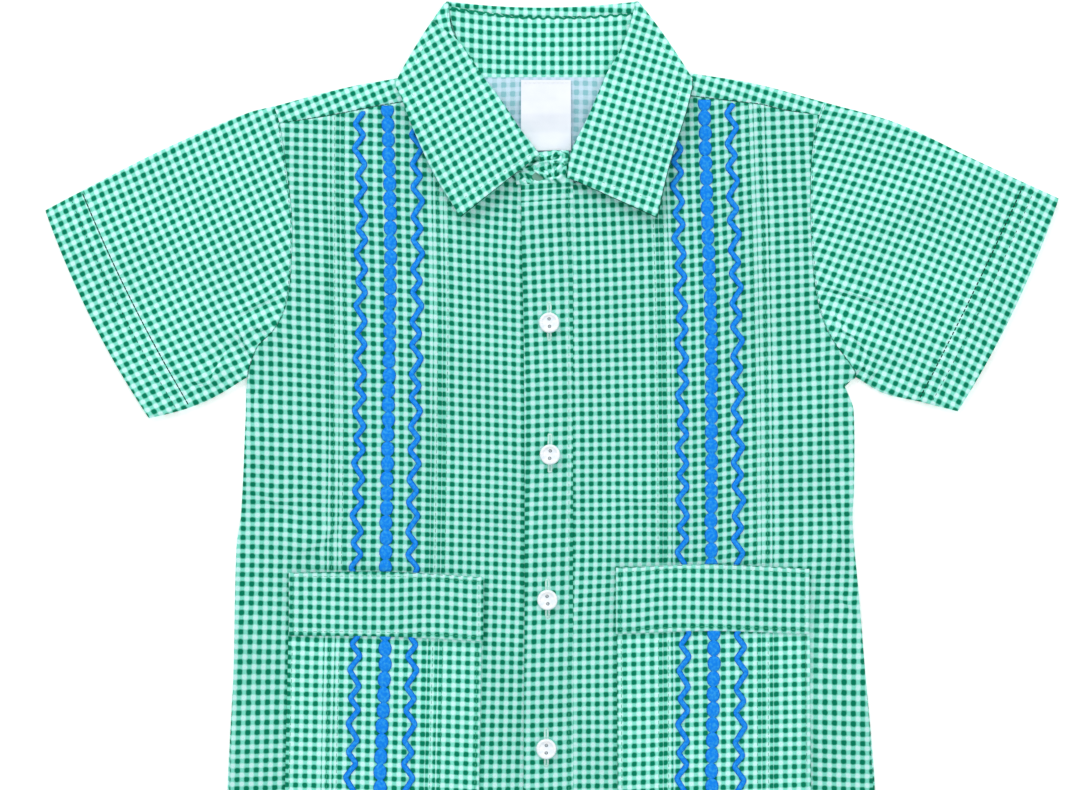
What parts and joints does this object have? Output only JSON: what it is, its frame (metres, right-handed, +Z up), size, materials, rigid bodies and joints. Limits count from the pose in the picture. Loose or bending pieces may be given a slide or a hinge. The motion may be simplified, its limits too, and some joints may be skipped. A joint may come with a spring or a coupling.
{
  "type": "child's short-sleeved romper",
  "caption": "Child's short-sleeved romper in fine gingham, laid flat, with a turned-down collar, button front, banded pockets, pintucks and embroidered bands.",
  "frame": {"origin": "middle of the garment's width and length, on the surface that it lies on", "axes": "+Y from the leg hems to the collar, +Z up from the surface, out of the front, and +X across to the side whose front laps over"},
  "size_m": [0.4452, 0.5242, 0.0072],
  "materials": {
    "gingham": "matt cotton poplin printed with a small green, mint and white gingham",
    "embroidery": "satin stitch in lustrous bright blue thread",
    "button": "pearly white, glossy",
    "label": "smooth white ribbon, bare"
  },
  "bodies": {
    "root": {"back": "gingham", "front_left": "gingham", "yoke_left": "gingham", "sleeve_left": "gingham", "pocket_left": "gingham", "pocket_band_left": "gingham", "chain_left_upper": "embroidery", "zigzag_outer_left_upper": "embroidery", "zigzag_inner_left_upper": "embroidery", "chain_left_pocket": "embroidery", "zigzag_outer_left_pocket": "embroidery", "zigzag_inner_left_pocket": "embroidery", "chain_left_lower": "embroidery", "zigzag_outer_left_lower": "embroidery", "zigzag_inner_left_lower": "embroidery", "front_right": "gingham", "yoke_right": "gingham", "sleeve_right": "gingham", "pocket_right": "gingham", "pocket_band_right": "gingham", "chain_right_upper": "embroidery", "zigzag_outer_right_upper": "embroidery", "zigzag_inner_right_upper": "embroidery", "chain_right_pocket": "embroidery", "zigzag_outer_right_pocket": "embroidery", "zigzag_inner_right_pocket": "embroidery", "chain_right_lower": "embroidery", "zigzag_outer_right_lower": "embroidery", "zigzag_inner_right_lower": "embroidery", "placket": "gingham", "collar_left": "gingham", "collar_right": "gingham", "collar_back": "gingham", "neck_binding": "gingham", "label": "label", "button_1": "button", "button_2": "button", "button_3": "button", "button_4": "button", "button_5": "button"}
  },
  "joints": []
}
